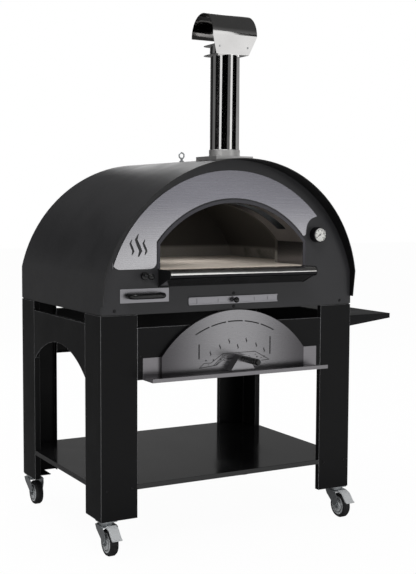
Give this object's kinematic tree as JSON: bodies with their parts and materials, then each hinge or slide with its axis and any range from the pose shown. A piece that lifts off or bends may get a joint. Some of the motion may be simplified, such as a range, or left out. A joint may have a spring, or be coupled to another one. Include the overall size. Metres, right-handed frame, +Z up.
{
  "type": "wood fired pizza oven",
  "caption": "Vaulted wood fired pizza oven on a wheeled stand, with hearth, chimney and cowl, ash drawer, air slide, thermometer, shelves and a lift-off door.",
  "frame": {"origin": "on the floor, midway between the outer faces of the legs, both across and from front to back", "axes": "+X to the user's right as seen facing the mouth, +Y to the back, +Z up"},
  "size_m": [1.421, 1.0027, 1.9908],
  "materials": {
    "satin_black_steel": "satin black heat-resistant paint",
    "gloss_black_steel": "gloss black paint",
    "brushed_stainless": "brushed stainless sheet",
    "polished_stainless": "mirror-polished stainless",
    "galvanised_sheet": "plain galvanised sheet",
    "zinc_plated_steel": "zinc-plated steel",
    "refractory_brick": "cast refractory, matt",
    "sooted_refractory": "refractory blackened by soot",
    "ceramic_fibre": "loose fibre blanket, matt",
    "cast_iron_grate": "as cast",
    "black_bakelite": "gloss black moulding",
    "wheel_rubber": "dark grey rubber",
    "grey_nylon": "light grey moulding",
    "dial_face": "white enamelled disc",
    "gauge_glass": "clear flat glass"
  },
  "bodies": {
    "oven_stand": {"leg_front_left": "satin_black_steel", "leg_front_right": "satin_black_steel", "leg_back_left": "satin_black_steel", "leg_back_right": "satin_black_steel", "front_apron": "satin_black_steel", "back_apron": "satin_black_steel", "side_panel_left": "satin_black_steel", "side_panel_right": "satin_black_steel", "lower_shelf": "gloss_black_steel", "side_shelf": "satin_black_steel", "door_holder": "brushed_stainless", "base_pan": "satin_black_steel", "outer_shell": "satin_black_steel", "front_panel": "satin_black_steel", "back_panel": "satin_black_steel", "trim_plate": "brushed_stainless", "mouth_sleeve": "brushed_stainless", "smoke_hood": "galvanised_sheet", "sill": "polished_stainless", "hearth_slab": "refractory_brick", "fire_grate": "cast_iron_grate", "hearth_frame": "galvanised_sheet", "chamber_vault": "sooted_refractory", "insulation_blanket": "ceramic_fibre", "air_slide_frame": "brushed_stainless", "thermometer_case": "satin_black_steel", "thermometer_dial": "dial_face", "thermometer_lens": "gauge_glass", "lifting_eye": "zinc_plated_steel", "chimney_saddle": "brushed_stainless", "chimney_pipe": "polished_stainless", "chimney_cowl": "polished_stainless", "caster_plate_front_left": "zinc_plated_steel", "caster_plate_front_right": "zinc_plated_steel", "caster_plate_back_left": "zinc_plated_steel", "caster_plate_back_right": "zinc_plated_steel"},
    "ash_drawer_unit": {"ash_drawer": "brushed_stainless", "ash_drawer_handle": "black_bakelite"},
    "air_slide_unit": {"air_slide": "brushed_stainless", "air_slide_knob": "black_bakelite"},
    "pull_rod_unit": {"pull_rod": "zinc_plated_steel", "pull_rod_knob": "black_bakelite"},
    "gauge_needle": {"thermometer_needle": "satin_black_steel"},
    "door": {"door_panel": "brushed_stainless", "door_handle_bracket": "brushed_stainless", "door_handle_grip": "black_bakelite"},
    "caster_swivel_front_left": {"caster_fork_front_left": "zinc_plated_steel"},
    "caster_roll_front_left": {"caster_wheel_front_left": "grey_nylon", "caster_tyre_front_left": "wheel_rubber"},
    "brake_front_left": {"brake_pedal_front_left": "grey_nylon"},
    "caster_swivel_front_right": {"caster_fork_front_right": "zinc_plated_steel"},
    "caster_roll_front_right": {"caster_wheel_front_right": "grey_nylon", "caster_tyre_front_right": "wheel_rubber"},
    "brake_front_right": {"brake_pedal_front_right": "grey_nylon"},
    "caster_swivel_back_left": {"caster_fork_back_left": "zinc_plated_steel"},
    "caster_roll_back_left": {"caster_wheel_back_left": "grey_nylon", "caster_tyre_back_left": "wheel_rubber"},
    "caster_swivel_back_right": {"caster_fork_back_right": "zinc_plated_steel"},
    "caster_roll_back_right": {"caster_wheel_back_right": "grey_nylon", "caster_tyre_back_right": "wheel_rubber"}
  },
  "joints": [
    {"name": "ash_drawer_slide", "type": "slide", "parent": "oven_stand", "child": "ash_drawer_unit", "axis": [0, -1, 0], "range_m": [0, 0.25]},
    {"name": "air_slide_travel", "type": "slide", "parent": "oven_stand", "child": "air_slide_unit", "axis": [-1, 0, 0], "range_m": [0, 0.028]},
    {"name": "pull_rod_travel", "type": "slide", "parent": "oven_stand", "child": "pull_rod_unit", "axis": [0, -1, 0], "range_m": [0, 0.04]},
    {"name": "gauge_needle_turn", "type": "hinge", "parent": "oven_stand", "child": "gauge_needle", "pos_m": [0.376, -0.4443, 1.158], "axis": [0, 1, 0], "range_deg": [0, 256], "stiffness_Nm_per_rad": 0.0002},
    {"name": "door_lift_off", "type": "slide", "parent": "oven_stand", "child": "door", "axis": [0, -0.9404, 0.3401], "range_m": [0, 0.35]},
    {"name": "swivel_front_left", "type": "hinge", "parent": "oven_stand", "child": "caster_swivel_front_left", "pos_m": [-0.515, -0.385, 0.1094], "axis": [0, 0, 1], "continuous": true},
    {"name": "wheel_front_left", "type": "hinge", "parent": "caster_swivel_front_left", "child": "caster_roll_front_left", "pos_m": [-0.515, -0.415, 0.05], "axis": [1, 0, 0], "continuous": true},
    {"name": "brake_press_front_left", "type": "hinge", "parent": "caster_swivel_front_left", "child": "brake_front_left", "pos_m": [-0.515, -0.4255, 0.1079], "axis": [1, 0, 0], "range_deg": [0, 12]},
    {"name": "swivel_front_right", "type": "hinge", "parent": "oven_stand", "child": "caster_swivel_front_right", "pos_m": [0.515, -0.385, 0.1094], "axis": [0, 0, 1], "continuous": true},
    {"name": "wheel_front_right", "type": "hinge", "parent": "caster_swivel_front_right", "child": "caster_roll_front_right", "pos_m": [0.515, -0.415, 0.05], "axis": [1, 0, 0], "continuous": true},
    {"name": "brake_press_front_right", "type": "hinge", "parent": "caster_swivel_front_right", "child": "brake_front_right", "pos_m": [0.515, -0.4255, 0.1079], "axis": [1, 0, 0], "range_deg": [0, 12]},
    {"name": "swivel_back_left", "type": "hinge", "parent": "oven_stand", "child": "caster_swivel_back_left", "pos_m": [-0.515, 0.385, 0.1094], "axis": [0, 0, 1], "continuous": true},
    {"name": "wheel_back_left", "type": "hinge", "parent": "caster_swivel_back_left", "child": "caster_roll_back_left", "pos_m": [-0.515, 0.355, 0.05], "axis": [1, 0, 0], "continuous": true},
    {"name": "swivel_back_right", "type": "hinge", "parent": "oven_stand", "child": "caster_swivel_back_right", "pos_m": [0.515, 0.385, 0.1094], "axis": [0, 0, 1], "continuous": true},
    {"name": "wheel_back_right", "type": "hinge", "parent": "caster_swivel_back_right", "child": "caster_roll_back_right", "pos_m": [0.515, 0.355, 0.05], "axis": [1, 0, 0], "continuous": true}
  ]
}
